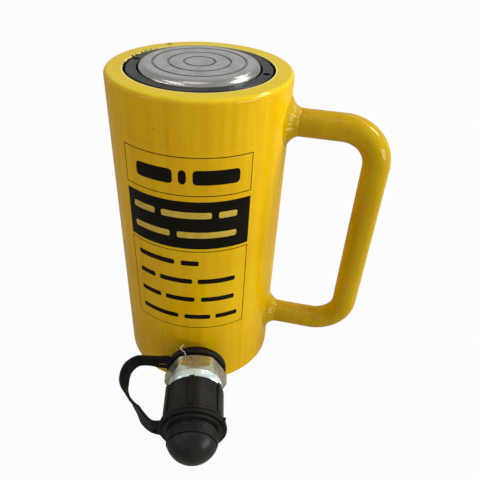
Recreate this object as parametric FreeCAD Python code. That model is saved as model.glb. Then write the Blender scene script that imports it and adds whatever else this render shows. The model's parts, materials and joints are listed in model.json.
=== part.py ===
import FreeCAD, Part
import math
import os

# A single acting, spring return hydraulic cylinder for jacking, all sizes in millimetres.
# The origin is the centre of the base, +Z is the way the plunger rises, +X points to the handle.

# Overall sizes
closed_height = 155.0
saddle_proud = 2.0
body_diameter = 78.5
wall_thickness = 9.25
rod_step = 5.0
base_thickness = 27.0
top_edge_radius = 1.8
foot_chamfer = 0.7

# Clearances
running_gap = 0.04
head_gap = 0.08
seated_gap = 0.05
soft_gap = 0.3
stop_gap = 0.3

# Round wires and seal rings are drawn with this many flats, which keeps their meshes light
wire_sides = 6

# Gland ring, screwed into the mouth of the body
gland_thread_depth = 1.0
gland_height = 12.7
gland_head_inset = 0.55
gland_head_height = 3.2
mouth_relief = 0.6
gland_neck_gap = 1.1
gland_edge = 0.4
gland_rod_gap = 0.4
spanner_hole_diameter = 3.0
spanner_hole_depth = 3.0
spanner_hole_count = 2
spanner_turn = -3.0
wiper_seat_depth = 2.6
wiper_height = 2.3
wiper_drop = 4.8
wiper_lip_height = 0.5
wiper_lip_slope = 0.6
rod_bearing_height = 3.0
rod_bearing_wall = 2.3
rod_bearing_lift = 1.4
strip_split = 1.5

# Plunger: hollow rod and piston head in one piece
head_height = 12.7
head_edge = 0.6
rod_edge = 0.6
rod_wall = 9.0
spring_room_roof = 19.0
seal_lift = 2.0
seal_groove_height = 5.6
seal_groove_depth = 4.4
backup_height = 1.5
seal_lip_depth = 2.2
head_bearing_lift = 9.1
head_bearing_height = 2.7
head_bearing_wall = 1.95

# Saddle
saddle_overhang = 0.5
saddle_thickness = 6.0
saddle_edge_radius = 3.0
saddle_grooves = 3
saddle_groove_width = 0.9
saddle_groove_depth = 0.45
spigot_diameter = 19.9
spigot_length = 7.5
spigot_gap = 0.05
clip_wire = 1.4
clip_rise = 3.0
clip_grip = 1.0
clip_proud = 0.5

# Return spring and its two screwed plugs
spring_wire = 4.0
spring_room_gap = 2.0
spring_turns = 17
plug_core_gap = 0.15
plug_flange_overlap = 1.5
plug_flange_height = 3.0
plug_core_length = 9.0
lower_stud_diameter = 12.0
lower_stud_length = 11.0
upper_stud_diameter = 10.0
upper_stud_length = 6.5
stud_hole_extra = 0.8

# Handle: a round bar bent twice and welded to the side of the body
bar_diameter = 11.8
handle_reach = 39.25
upper_arm_drop = 18.7
lower_arm_height = 25.3
bar_bend_radius = 16.2
weld_leg_along = 4.6
weld_leg_out = 4.6
weld_root = 2.6
weld_hollow = 0.3

# Oil port and coupler half: heights above the base, stations measured out from the body's axis
port_height = 17.0
port_turn = -77.0
port_thread_diameter = 17.2
port_taper = 1 / 16
port_overrun = 2.0
port_depth = 12.25
nipple_depth = 10.25
passage_diameter = 5.0
riser_diameter = 6.0
adapter_bore = 8.0
hex_stand_off = 8.55
hex_length = 8.8
hex_across_flats = 27.0
hex_edge = 1.3
nose_spigot_diameter = 19.0
nose_spigot_length = 5.5
guide_thickness = 2.0
collar_diameter = 26.4
collar_length = 3.0
collar_edge = 0.9
cap_thread_diameter = 24.8
cap_thread_length = 12.4
nose_diameter = 19.8
nose_length = 7.9
nose_edge = 0.7
o_ring_wire = 1.6

# Poppet valve in the nose
chamber_diameter = 12.0
seat_start = 6.5
throat_diameter = 7.2
mouth_diameter = 10.0
mouth_depth = 2.0
poppet_head_diameter = 11.2
poppet_head_length = 4.0
poppet_pin_diameter = 6.0
poppet_pin_sunk = 0.5
poppet_seat_gap = 0.3
poppet_stem_diameter = 3.6
poppet_stem_length = 22.5
poppet_seal_wire = 1.4
poppet_seal_radius = 4.04
poppet_seal_gap = 0.02
poppet_spring_wire = 0.9
poppet_spring_mean = 6.8
poppet_spring_turns = 6
guide_flow_holes = 4
guide_flow_diameter = 2.4
guide_flow_circle = 8.0

# Dust cap, one moulding
cap_gap = 0.3
cap_stand_off = 2.1
skirt_diameter = 28.0
skirt_length = 15.6
grip_ribs = 6
grip_rib_width = 2.4
grip_rib_proud = 0.8
grip_rib_turn = 5
rear_flange_diameter = 30.4
rear_flange_length = 2.2
ring_groove_diameter = 25.2
front_flange_diameter = 27.8
front_flange_length = 1.3
neck_diameter = 22.6
neck_length = 5.6
neck_groove_diameter = 21.4
neck_groove_length = 0.8
dome_diameter = 22.2
dome_height = 7.2
cap_seal_thickness = 1.6
cap_seal_bore = 9.0

# Strap, one moulding with a ring at each end; its bends are shares of the reach and of the rings' distance
strap_thickness = 2.2
strap_width = 7.5
strap_rise = 2.0
base_ring_diameter = 30.0
base_ring_thickness = 3.6
base_ring_gap = 0.4
cap_ring_diameter = 31.0
cap_ring_thickness = 2.2
cap_ring_gap = 0.15
strap_reach = 35.5
strap_bend_points = 17
strap_bend_shares = (
    (0.34, 0.0),
    (0.56, 0.0),
    (0.80, 0.06),
    (0.97, 0.23),
    (1.0, 0.44),
    (0.90, 0.65),
    (0.75, 0.85),
    (0.58, 0.97),
    (0.44, 1.0),
    (0.38, 1.0),
)

# Worked out from the sizes above
origin = FreeCAD.Vector(0, 0, 0)
up = FreeCAD.Vector(0, 0, 1)
sideways = FreeCAD.Vector(0, 1, 0)
ahead = FreeCAD.Vector(1, 0, 0)
body_radius = body_diameter / 2
bore_radius = body_radius - wall_thickness
rod_radius = bore_radius - rod_step
saddle_radius = rod_radius + saddle_overhang
spring_room_radius = rod_radius - rod_wall
spring_radius = spring_room_radius - spring_room_gap - spring_wire / 2
body_top = closed_height - saddle_proud
gland_bottom = body_top - gland_height
gland_thread_radius = bore_radius + gland_thread_depth
gland_head_radius = gland_thread_radius - gland_head_inset
gland_neck_radius = rod_radius + gland_neck_gap
mouth_radius = gland_thread_radius + mouth_relief
spanner_circle_radius = (gland_head_radius + gland_neck_radius) / 2
wiper_seat_radius = rod_radius + wiper_seat_depth
plunger_bottom = base_thickness + stop_gap
head_top = plunger_bottom + head_height
stroke = gland_bottom - stop_gap - head_top
plunger_top = closed_height - saddle_thickness
room_roof = plunger_top - spring_room_roof
wiper_bottom = body_top - wiper_drop - wiper_height
rod_bearing_bottom = gland_bottom + rod_bearing_lift
seal_groove_bottom = plunger_bottom + seal_lift
head_bearing_bottom = plunger_bottom + head_bearing_lift
saddle_hole_bottom = plunger_top - spigot_length - stop_gap
spigot_hole_radius = spigot_diameter / 2 + spigot_gap
clip_height = plunger_top - spigot_length + clip_rise
plug_core_radius = spring_radius - spring_wire / 2 - plug_core_gap
plug_flange_radius = spring_radius + plug_flange_overlap
passage_radius = (bore_radius + plug_flange_radius) / 2
port_bottom = body_radius - port_depth
nipple_start = body_radius - nipple_depth
bar_reach = body_radius + handle_reach
upper_arm_height = body_top - upper_arm_drop
hex_start = body_radius + hex_stand_off
hex_end = hex_start + hex_length
collar_end = hex_end + collar_length
thread_end = collar_end + collar_edge + cap_thread_length
nose_end = thread_end + nose_length
spigot_start = hex_end - nose_spigot_length
guide_start = spigot_start - guide_thickness
seat_end_station = nose_end - seat_start + (chamber_diameter - throat_diameter) / 2
seat_begin_station = nose_end - seat_start
cap_start = collar_end + cap_stand_off
rear_flange_start = cap_start + skirt_length
ring_groove_start = rear_flange_start + rear_flange_length
ring_groove_end = ring_groove_start + cap_ring_thickness + 2 * cap_ring_gap
neck_start = ring_groove_end + front_flange_length
neck_end = neck_start + neck_length
dome_start = neck_end + neck_groove_length
cap_floor = nose_end + stop_gap + cap_seal_thickness


def at(radius, height):
    return FreeCAD.Vector(radius, 0, height)


def outline(start, *steps):
    """A closed face in the XZ plane; a step of two points is an arc through the first."""
    edges = []
    here = at(*start)
    for step in steps:
        if isinstance(step[0], tuple):
            there = at(*step[1])
            edges.append(Part.Arc(here, at(*step[0]), there).toShape())
        else:
            there = at(*step)
            edges.append(Part.makeLine(here, there))
        here = there
    edges.append(Part.makeLine(here, at(*start)))
    return Part.Face(Part.Wire(edges))


def turned(start, *steps):
    """A solid turned about Z from the outline's points."""
    return outline(start, *steps).revolve(origin, up, 360)


def ring(inner, outer, bottom, top):
    return turned((inner, bottom), (outer, bottom), (outer, top), (inner, top))


def rod(radius, bottom, top):
    return Part.makeCylinder(radius, top - bottom, FreeCAD.Vector(0, 0, bottom), up)


def wire_section(radius, wire):
    """The outline of a wire's section, which lies across the XZ plane at a radius."""
    rim = []
    for index in range(wire_sides + 1):
        angle = 2 * math.pi * index / wire_sides
        rim.append(at(radius + wire / 2 * math.cos(angle), wire / 2 * math.sin(angle)))
    return Part.makePolygon(rim)


def wire_ring(radius, wire, height):
    loop = Part.Face(wire_section(radius, wire)).revolve(origin, up, 360)
    loop.translate(FreeCAD.Vector(0, 0, height))
    return loop


def corner(radius):
    """How far the middle of a quarter round lies from each side of its square corner."""
    return radius * (1 - math.sin(math.radians(45)))


def split(shape, radius, gap):
    """The shape with a saw cut through one side, as a strip or clip is split to be fitted."""
    box = shape.BoundBox
    cut = Part.makeBox(2 * radius, gap, box.ZLength)
    cut.translate(FreeCAD.Vector(0, -gap / 2, box.ZMin))
    return shape.cut(cut)


def coil(mean_radius, wire, turns, bottom, top):
    """A helical spring that just clears its two seats, swept along one helix for each turn."""
    start = bottom + soft_gap + wire / 2
    pitch = (top - soft_gap - wire / 2 - start) / turns
    spine = []
    for index in range(turns):
        turn = Part.makeHelix(pitch, pitch, mean_radius)
        turn.translate(FreeCAD.Vector(0, 0, pitch * index))
        spine += turn.Edges
    shape = Part.Wire(spine).makePipeShell([wire_section(mean_radius, wire)], True, True)
    shape.translate(FreeCAD.Vector(0, 0, start))
    return shape


def at_port(shape):
    """A shape modelled about Z, local X up and local Y to the strap's side, set at the oil port."""
    shape.rotate(origin, sideways, -90)
    shape.rotate(origin, up, 180 + port_turn)
    shape.translate(FreeCAD.Vector(0, 0, port_height))
    return shape


def cylinder_body():
    thread_radius = gland_thread_radius + seated_gap
    mouth_bottom = body_top - gland_head_height
    bevel = corner(top_edge_radius)
    body = turned(
        (0, 0),
        (body_radius - foot_chamfer, 0),
        (body_radius, foot_chamfer),
        (body_radius, body_top - top_edge_radius),
        ((body_radius - bevel, body_top - bevel), (body_radius - top_edge_radius, body_top)),
        (mouth_radius, body_top),
        (mouth_radius, mouth_bottom),
        (thread_radius, mouth_bottom),
        (thread_radius, gland_bottom),
        (bore_radius, gland_bottom),
        (bore_radius, base_thickness),
        (0, base_thickness),
    )
    stud_hole = rod(
        lower_stud_diameter / 2 + seated_gap,
        base_thickness - lower_stud_length - stud_hole_extra,
        base_thickness,
    )
    mouth = port_thread_diameter / 2 + seated_gap
    port_hole = Part.makeCone(
        mouth - port_depth * port_taper / 2,
        mouth + port_overrun * port_taper / 2,
        port_depth + port_overrun,
        FreeCAD.Vector(0, 0, port_bottom),
        up,
    )
    passage = rod(passage_diameter / 2, passage_radius, port_bottom)
    body = body.cut(stud_hole).cut(at_port(port_hole.fuse(passage)))
    riser = rod(riser_diameter / 2, port_height - riser_diameter / 2, base_thickness)
    riser.translate(FreeCAD.Vector(passage_radius, 0, 0))
    riser.rotate(origin, up, port_turn)
    return body.cut(riser)


def bar_spine():
    """The handle's centre line in the XZ plane, from one foot to the other."""
    foot = body_radius - bar_diameter / 2
    bend = bar_bend_radius
    off = corner(bend)
    inner = bar_reach - bend
    points = (
        (foot, upper_arm_height),
        (inner, upper_arm_height),
        (bar_reach - off, upper_arm_height - off),
        (bar_reach, upper_arm_height - bend),
        (bar_reach, lower_arm_height + bend),
        (bar_reach - off, lower_arm_height + off),
        (inner, lower_arm_height),
        (foot, lower_arm_height),
    )
    corners = [at(*point) for point in points]
    return Part.Wire([
        Part.makeLine(corners[0], corners[1]),
        Part.Arc(corners[1], corners[2], corners[3]).toShape(),
        Part.makeLine(corners[3], corners[4]),
        Part.Arc(corners[4], corners[5], corners[6]).toShape(),
        Part.makeLine(corners[6], corners[7]),
    ])


def handle():
    spine = bar_spine()
    start = spine.Vertexes[0].Point
    section = Part.Wire(Part.makeCircle(bar_diameter / 2, start, ahead))
    bar = spine.makePipeShell([section], True, False)
    return bar.cut(rod(body_radius, 0, body_top))


def handle_weld(height):
    """A hollow fillet weld round one foot of the bar, cut to the body and the bar."""
    bar = bar_diameter / 2
    outer = bar + weld_leg_out
    face = body_radius
    middle = (bar + weld_leg_out * weld_hollow, face + weld_leg_along * weld_hollow)
    bead = turned(
        (bar, face - weld_root),
        (outer, face - weld_root),
        (outer, face),
        (middle, (bar, face + weld_leg_along)),
    )
    bead.rotate(origin, sideways, 90)
    bead.translate(FreeCAD.Vector(0, 0, height))
    return bead.cut(rod(body_radius, 0, body_top))


def gland_ring():
    thread = gland_thread_radius
    head = gland_head_radius
    neck = gland_neck_radius
    inner = rod_radius + gland_rod_gap
    seat = wiper_seat_radius
    strip_seat = rod_radius + running_gap + rod_bearing_wall + seated_gap
    strip_top = rod_bearing_bottom + rod_bearing_height
    ring_body = turned(
        (inner, gland_bottom),
        (thread, gland_bottom),
        (thread, body_top - gland_head_height),
        (head, body_top - gland_head_height),
        (head, body_top - gland_edge),
        (head - gland_edge, body_top),
        (neck, body_top),
        (neck, wiper_bottom + wiper_height),
        (seat, wiper_bottom + wiper_height),
        (seat, wiper_bottom),
        (inner, wiper_bottom),
        (inner, strip_top),
        (strip_seat, strip_top),
        (strip_seat, rod_bearing_bottom),
        (inner, rod_bearing_bottom),
    )
    for index in range(spanner_hole_count):
        hole = rod(spanner_hole_diameter / 2, body_top - spanner_hole_depth, body_top)
        hole.translate(FreeCAD.Vector(spanner_circle_radius, 0, 0))
        hole.rotate(origin, up, spanner_turn + 360 / spanner_hole_count * index)
        ring_body = ring_body.cut(hole)
    return ring_body


def wiper_seal():
    """A scraper with a lip that leans on the rod."""
    lip = rod_radius + running_gap
    seat = wiper_seat_radius - seated_gap
    bottom = wiper_bottom + seated_gap
    top = wiper_bottom + wiper_height - seated_gap
    waist = rod_radius + gland_rod_gap
    return turned(
        (waist, bottom),
        (seat, bottom),
        (seat, top),
        (waist + wiper_lip_slope, top),
        (lip, top),
        (lip, top - wiper_lip_height),
    )


def rod_bearing():
    inner = rod_radius + running_gap
    bottom = rod_bearing_bottom + seated_gap
    top = rod_bearing_bottom + rod_bearing_height - seated_gap
    strip = ring(inner, inner + rod_bearing_wall, bottom, top)
    return split(strip, inner + rod_bearing_wall, strip_split)


def plunger():
    head = bore_radius - head_gap
    room = spring_room_radius
    seal_seat = bore_radius - seal_groove_depth
    strip_seat = bore_radius - running_gap - head_bearing_wall - seated_gap
    seal_top = seal_groove_bottom + seal_groove_height
    strip_top = head_bearing_bottom + head_bearing_height
    clip_groove = spigot_hole_radius + clip_proud + soft_gap
    clip_low = clip_height - clip_wire / 2 - soft_gap
    clip_high = clip_height + clip_wire / 2 + soft_gap
    body = turned(
        (room, plunger_bottom),
        (head - head_edge, plunger_bottom),
        (head, plunger_bottom + head_edge),
        (head, seal_groove_bottom),
        (seal_seat, seal_groove_bottom),
        (seal_seat, seal_top),
        (head, seal_top),
        (head, head_bearing_bottom),
        (strip_seat, head_bearing_bottom),
        (strip_seat, strip_top),
        (head, strip_top),
        (head, head_top - head_edge),
        (head - head_edge, head_top),
        (rod_radius, head_top),
        (rod_radius, plunger_top - rod_edge),
        (rod_radius - rod_edge, plunger_top),
        (spigot_hole_radius, plunger_top),
        (spigot_hole_radius, clip_high),
        (clip_groove, clip_high),
        (clip_groove, clip_low),
        (spigot_hole_radius, clip_low),
        (spigot_hole_radius, saddle_hole_bottom),
        (0, saddle_hole_bottom),
        (0, room_roof),
        (room, room_roof),
    )
    stud_hole = rod(
        upper_stud_diameter / 2 + seated_gap,
        room_roof,
        room_roof + upper_stud_length + stud_hole_extra,
    )
    return body.cut(stud_hole)


def piston_seal():
    """A U-cup whose two lips open towards the oil."""
    outer = bore_radius - running_gap
    inner = bore_radius - seal_groove_depth + seated_gap
    bottom = seal_groove_bottom + seated_gap
    top = seal_groove_bottom + seal_groove_height - backup_height - 2 * seated_gap
    middle = (outer + inner) / 2
    lip = (outer - inner) / 4
    return turned(
        (inner, bottom),
        (inner + lip, bottom),
        (middle, bottom + seal_lip_depth),
        (outer - lip, bottom),
        (outer, bottom),
        (outer, top),
        (inner, top),
    )


def backup_ring():
    top = seal_groove_bottom + seal_groove_height - seated_gap
    inner = bore_radius - seal_groove_depth + seated_gap
    return ring(inner, bore_radius - running_gap, top - backup_height, top)


def piston_bearing():
    outer = bore_radius - running_gap
    bottom = head_bearing_bottom + seated_gap
    top = head_bearing_bottom + head_bearing_height - seated_gap
    return split(ring(outer - head_bearing_wall, outer, bottom, top), outer, strip_split)


def saddle():
    edge = saddle_edge_radius
    outer = saddle_radius
    bevel = corner(edge)
    spigot = spigot_diameter / 2
    clip_seat = spigot - clip_grip
    clip_low = clip_height - clip_wire / 2 - seated_gap
    clip_high = clip_height + clip_wire / 2 + seated_gap
    disc = turned(
        (0, plunger_top - spigot_length),
        (spigot, plunger_top - spigot_length),
        (spigot, clip_low),
        (clip_seat, clip_low),
        (clip_seat, clip_high),
        (spigot, clip_high),
        (spigot, plunger_top),
        (outer, plunger_top),
        (outer, closed_height - edge),
        ((outer - bevel, closed_height - bevel), (outer - edge, closed_height)),
        (0, closed_height),
    )
    half = saddle_groove_width / 2
    pitch = (outer - edge) / (saddle_grooves + 0.5)
    for index in range(saddle_grooves):
        radius = pitch * (index + 1)
        groove = ring(radius - half, radius + half, closed_height - saddle_groove_depth, closed_height)
        disc = disc.cut(groove)
    return disc


def saddle_clip():
    inner = spigot_diameter / 2 - clip_grip + seated_gap
    outer = spigot_hole_radius + clip_proud
    clip = ring(inner, outer, clip_height - clip_wire / 2, clip_height + clip_wire / 2)
    return split(clip, outer, strip_split)


def lower_spring_plug():
    flange = plug_flange_radius
    stud = lower_stud_diameter / 2
    flange_top = base_thickness + plug_flange_height
    return turned(
        (0, base_thickness - lower_stud_length),
        (stud, base_thickness - lower_stud_length),
        (stud, base_thickness),
        (flange, base_thickness),
        (flange, flange_top),
        (plug_core_radius, flange_top),
        (plug_core_radius, flange_top + plug_core_length),
        (0, flange_top + plug_core_length),
    )


def upper_spring_plug():
    flange = plug_flange_radius
    stud = upper_stud_diameter / 2
    flange_bottom = room_roof - plug_flange_height
    return turned(
        (0, flange_bottom - plug_core_length),
        (plug_core_radius, flange_bottom - plug_core_length),
        (plug_core_radius, flange_bottom),
        (flange, flange_bottom),
        (flange, room_roof),
        (stud, room_roof),
        (stud, room_roof + upper_stud_length),
        (0, room_roof + upper_stud_length),
    )


def return_spring():
    bottom = base_thickness + plug_flange_height
    top = room_roof - plug_flange_height
    return coil(spring_radius, spring_wire, spring_turns, bottom, top)


def coupler_adapter():
    mouth = port_thread_diameter / 2
    tip = mouth - (body_radius - nipple_start) * port_taper / 2
    bore = adapter_bore / 2
    pocket = nose_spigot_diameter / 2 + seated_gap
    corner_radius = hex_across_flats / math.sqrt(3)
    edge = corner_radius - hex_across_flats / 2 + hex_edge
    rise = edge * math.tan(math.radians(30))
    hexagon = Part.Face(Part.makePolygon([
        FreeCAD.Vector(
            corner_radius * math.cos(math.radians(30 + 60 * index)),
            corner_radius * math.sin(math.radians(30 + 60 * index)),
            hex_start,
        )
        for index in range(7)
    ])).extrude(up * hex_length)
    blank = turned(
        (0, hex_start),
        (corner_radius - edge, hex_start),
        (corner_radius, hex_start + rise),
        (corner_radius, hex_end - rise),
        (corner_radius - edge, hex_end),
        (0, hex_end),
    )
    nipple = turned(
        (0, nipple_start),
        (tip, nipple_start),
        (mouth, body_radius),
        (mouth, hex_start),
        (0, hex_start),
    )
    shell = hexagon.common(blank).fuse(nipple)
    shell = shell.cut(rod(bore, nipple_start, guide_start)).cut(rod(pocket, guide_start, hex_end))
    return at_port(shell)


def coupler_nose():
    spigot = nose_spigot_diameter / 2
    collar = collar_diameter / 2
    thread = cap_thread_diameter / 2
    nose = nose_diameter / 2
    chamber = chamber_diameter / 2
    throat = throat_diameter / 2
    groove_middle = spigot_start + nose_spigot_length / 2
    groove = spigot - o_ring_wire
    half = o_ring_wire / 2 + seated_gap
    shell = turned(
        (chamber, spigot_start),
        (spigot, spigot_start),
        (spigot, groove_middle - half),
        (groove, groove_middle - half),
        (groove, groove_middle + half),
        (spigot, groove_middle + half),
        (spigot, hex_end),
        (collar, hex_end),
        (collar, collar_end),
        (thread, collar_end + collar_edge),
        (thread, thread_end),
        (nose, thread_end),
        (nose, nose_end - nose_edge),
        (nose - nose_edge, nose_end),
        (mouth_diameter / 2, nose_end),
        (throat, nose_end - mouth_depth),
        (throat, seat_end_station),
        (chamber, seat_begin_station),
    )
    return at_port(shell)


def coupler_o_ring():
    middle = spigot_start + nose_spigot_length / 2
    return at_port(wire_ring((nose_spigot_diameter - o_ring_wire) / 2, o_ring_wire - seated_gap, middle))


def poppet_guide():
    stem_hole = poppet_stem_diameter / 2 + running_gap
    outer = nose_spigot_diameter / 2 - soft_gap / 2
    disc = ring(stem_hole, outer, guide_start + seated_gap, spigot_start - seated_gap)
    for index in range(guide_flow_holes):
        hole = rod(guide_flow_diameter / 2, guide_start, spigot_start)
        hole.translate(FreeCAD.Vector(guide_flow_circle / 2, 0, 0))
        hole.rotate(origin, up, 360 / guide_flow_holes * index)
        disc = disc.cut(hole)
    return at_port(disc)


def poppet():
    head = poppet_head_diameter / 2
    pin = poppet_pin_diameter / 2
    stem = poppet_stem_diameter / 2
    cone_sum = chamber_diameter / 2 + seat_begin_station - poppet_seat_gap
    head_end = cone_sum - head
    head_start = head_end - poppet_head_length
    shape = turned(
        (0, head_start - poppet_stem_length),
        (stem, head_start - poppet_stem_length),
        (stem, head_start),
        (head, head_start),
        (head, head_end),
        (pin, cone_sum - pin),
        (pin, nose_end - poppet_pin_sunk),
        (0, nose_end - poppet_pin_sunk),
    )
    groove = wire_ring(poppet_seal_radius, poppet_seal_wire + 2 * poppet_seal_gap, poppet_seal_station())
    return at_port(shape.cut(groove))


def poppet_seal_station():
    """Where the seal ring's centre lies, so that it just clears the 45 degree seat."""
    seat_sum = chamber_diameter / 2 + seat_begin_station
    return seat_sum - math.sqrt(2) * (poppet_seal_wire / 2 + seated_gap) - poppet_seal_radius


def poppet_seal():
    return at_port(wire_ring(poppet_seal_radius, poppet_seal_wire, poppet_seal_station()))


def poppet_spring():
    head_end = chamber_diameter / 2 + seat_begin_station - poppet_seat_gap - poppet_head_diameter / 2
    head_start = head_end - poppet_head_length
    spring = coil(poppet_spring_mean / 2, poppet_spring_wire, poppet_spring_turns, spigot_start, head_start)
    return at_port(spring)


def dust_cap():
    skirt = skirt_diameter / 2
    inner = cap_thread_diameter / 2 + cap_gap
    nose_room = nose_diameter / 2 + cap_gap
    rear = rear_flange_diameter / 2
    groove = ring_groove_diameter / 2
    front = front_flange_diameter / 2
    neck = neck_diameter / 2
    waist = neck_groove_diameter / 2
    dome = dome_diameter / 2
    step = thread_end + cap_gap
    shell = turned(
        (inner, cap_start),
        (skirt, cap_start),
        (skirt, rear_flange_start),
        (rear, rear_flange_start + (rear - skirt)),
        (rear, ring_groove_start),
        (groove, ring_groove_start),
        (groove, ring_groove_end),
        (front, ring_groove_end),
        (front, neck_start),
        (neck, neck_start),
        (neck, neck_end),
        (waist, neck_end),
        (waist, dome_start),
        (0, dome_start),
        (0, cap_floor),
        (nose_room, cap_floor),
        (nose_room, step),
        (inner, step),
    )
    centre = at(0, dome_start)
    edge = at(dome, dome_start)
    tip = at(0, dome_start + dome_height)
    ball = (dome ** 2 + dome_height ** 2) / (2 * dome_height)
    lean = math.atan2(dome_height, dome)
    middle = at(ball * math.sin(lean), dome_start + dome_height - ball * (1 - math.cos(lean)))
    bow = Part.Arc(edge, middle, tip).toShape()
    profile = Part.Wire([Part.makeLine(centre, edge), bow, Part.makeLine(tip, centre)])
    shell = shell.fuse(Part.Face(profile).revolve(origin, up, 360)).removeSplitter()
    for index in range(grip_ribs):
        rib = Part.makeBox(grip_rib_proud * 2, grip_rib_width, skirt_length)
        rib.translate(FreeCAD.Vector(skirt - grip_rib_proud, -grip_rib_width / 2, cap_start))
        rib.rotate(origin, up, 360 / grip_ribs * index + grip_rib_turn)
        shell = shell.fuse(rib)
    return at_port(shell)


def cap_seal():
    bottom = cap_floor - cap_seal_thickness
    return at_port(ring(cap_seal_bore / 2, nose_diameter / 2, bottom, cap_floor))


def strap_route():
    """The band's centre line in the local YZ plane, from the base ring to the cap's ring."""
    base = hex_start - base_ring_gap - base_ring_thickness / 2
    cap = ring_groove_start + cap_ring_gap + cap_ring_thickness / 2
    span = cap - base
    return [FreeCAD.Vector(0, strap_reach * side, base + span * out) for side, out in strap_bend_shares]


def dust_cap_strap():
    spine = Part.BSplineCurve()
    spine.interpolate(strap_route())
    sides = []
    for offset in (strap_thickness / 2, -strap_thickness / 2):
        points = []
        for index in range(strap_bend_points):
            share = index / (strap_bend_points - 1)
            place = spine.FirstParameter + (spine.LastParameter - spine.FirstParameter) * share
            normal = spine.tangent(place)[0].cross(ahead)
            points.append(spine.value(place) + normal * offset)
        edge = Part.BSplineCurve()
        edge.interpolate(points)
        sides.append(edge.toShape())
    outer, inner = sides
    start = Part.makeLine(inner.firstVertex().Point, outer.firstVertex().Point)
    finish = Part.makeLine(outer.lastVertex().Point, inner.lastVertex().Point)
    band = Part.Face(Part.Wire([start, outer, finish, inner])).extrude(ahead * strap_width)
    band.translate(ahead * (strap_rise - strap_width / 2))
    base_top = hex_start - base_ring_gap
    base_inner = port_thread_diameter / 2 + soft_gap
    base_ring = ring(base_inner, base_ring_diameter / 2, base_top - base_ring_thickness, base_top)
    cap_low = ring_groove_start + cap_ring_gap
    cap_inner = ring_groove_diameter / 2 + cap_ring_gap
    cap_ring = ring(cap_inner, cap_ring_diameter / 2, cap_low, cap_low + cap_ring_thickness)
    band = band.cut(rod(cap_inner, cap_low - cap_ring_thickness, cap_low + 2 * cap_ring_thickness))
    return at_port(base_ring.fuse(band).fuse(cap_ring))


pieces = {
    "cylinder_body": cylinder_body(),
    "handle": handle(),
    "handle_weld_upper": handle_weld(upper_arm_height),
    "handle_weld_lower": handle_weld(lower_arm_height),
    "gland_ring": gland_ring(),
    "wiper_seal": wiper_seal(),
    "rod_bearing": rod_bearing(),
    "lower_spring_plug": lower_spring_plug(),
    "return_spring": return_spring(),
    "plunger": plunger(),
    "upper_spring_plug": upper_spring_plug(),
    "piston_seal": piston_seal(),
    "backup_ring": backup_ring(),
    "piston_bearing": piston_bearing(),
    "saddle": saddle(),
    "saddle_clip": saddle_clip(),
    "coupler_adapter": coupler_adapter(),
    "coupler_nose": coupler_nose(),
    "coupler_o_ring": coupler_o_ring(),
    "poppet_guide": poppet_guide(),
    "poppet": poppet(),
    "poppet_seal": poppet_seal(),
    "poppet_spring": poppet_spring(),
    "dust_cap": dust_cap(),
    "cap_seal": cap_seal(),
    "dust_cap_strap": dust_cap_strap(),
}

os.makedirs("parts", exist_ok=True)
for name, shape in pieces.items():
    if len(shape.Solids) == 1:
        shape = shape.Solids[0]
    shape.exportStep("parts/" + name + ".step")
    print(name, len(shape.Solids), shape.isValid(), round(shape.Volume, 1))
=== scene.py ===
import bpy
import bmesh
import json
import math
from mathutils import Matrix, Vector, noise


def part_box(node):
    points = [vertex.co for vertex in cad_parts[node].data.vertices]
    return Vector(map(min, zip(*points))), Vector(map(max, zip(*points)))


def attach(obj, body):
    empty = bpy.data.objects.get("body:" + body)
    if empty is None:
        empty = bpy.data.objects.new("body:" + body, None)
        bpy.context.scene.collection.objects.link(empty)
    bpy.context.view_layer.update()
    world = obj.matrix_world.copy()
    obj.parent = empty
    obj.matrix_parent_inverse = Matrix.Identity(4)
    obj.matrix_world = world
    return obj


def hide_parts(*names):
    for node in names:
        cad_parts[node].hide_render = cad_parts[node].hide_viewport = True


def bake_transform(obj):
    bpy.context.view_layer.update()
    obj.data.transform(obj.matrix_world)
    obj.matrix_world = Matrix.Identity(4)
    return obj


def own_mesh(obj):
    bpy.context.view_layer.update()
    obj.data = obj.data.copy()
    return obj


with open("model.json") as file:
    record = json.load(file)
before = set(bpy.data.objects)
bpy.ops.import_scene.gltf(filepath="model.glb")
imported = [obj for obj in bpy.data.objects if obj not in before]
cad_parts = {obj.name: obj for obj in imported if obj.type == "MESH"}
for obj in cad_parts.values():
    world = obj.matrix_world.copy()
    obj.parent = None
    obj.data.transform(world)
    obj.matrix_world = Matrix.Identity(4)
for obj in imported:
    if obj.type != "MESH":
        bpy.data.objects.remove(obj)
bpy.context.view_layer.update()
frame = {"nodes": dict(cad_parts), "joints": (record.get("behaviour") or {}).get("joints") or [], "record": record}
nodes = frame["nodes"]
joints = {joint["name"]: joint for joint in frame["joints"]}
mm = 0.001

# Places read from the frame: the body stands on Z, the port frame is (side, out, up)
bodyLow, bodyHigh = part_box("cylinder_body")
bodyRadius = -bodyLow.x
bodyTop = bodyHigh.z
saddleLow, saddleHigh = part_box("saddle")
portOut = Vector(joints["dust_cap_pull"]["axis"])
portUp = Vector((0, 0, 1))
portSide = portOut.cross(portUp)  # towards the strap
noseLow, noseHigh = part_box("coupler_nose")
portHeight = (noseLow.z + noseHigh.z) / 2


def atPort(side, out, up):
    return portSide * side + portOut * out + portUp * (portHeight + up)


def stations(node):  # how far out from the body's axis a node of the coupler starts and ends
    reach = [vertex.co.dot(portOut) for vertex in nodes[node].data.vertices]
    return min(reach), max(reach)


def aroundBody(azimuth, radius, height):
    turn = math.radians(azimuth)
    return Vector((radius * math.cos(turn), radius * math.sin(turn), height))


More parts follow.
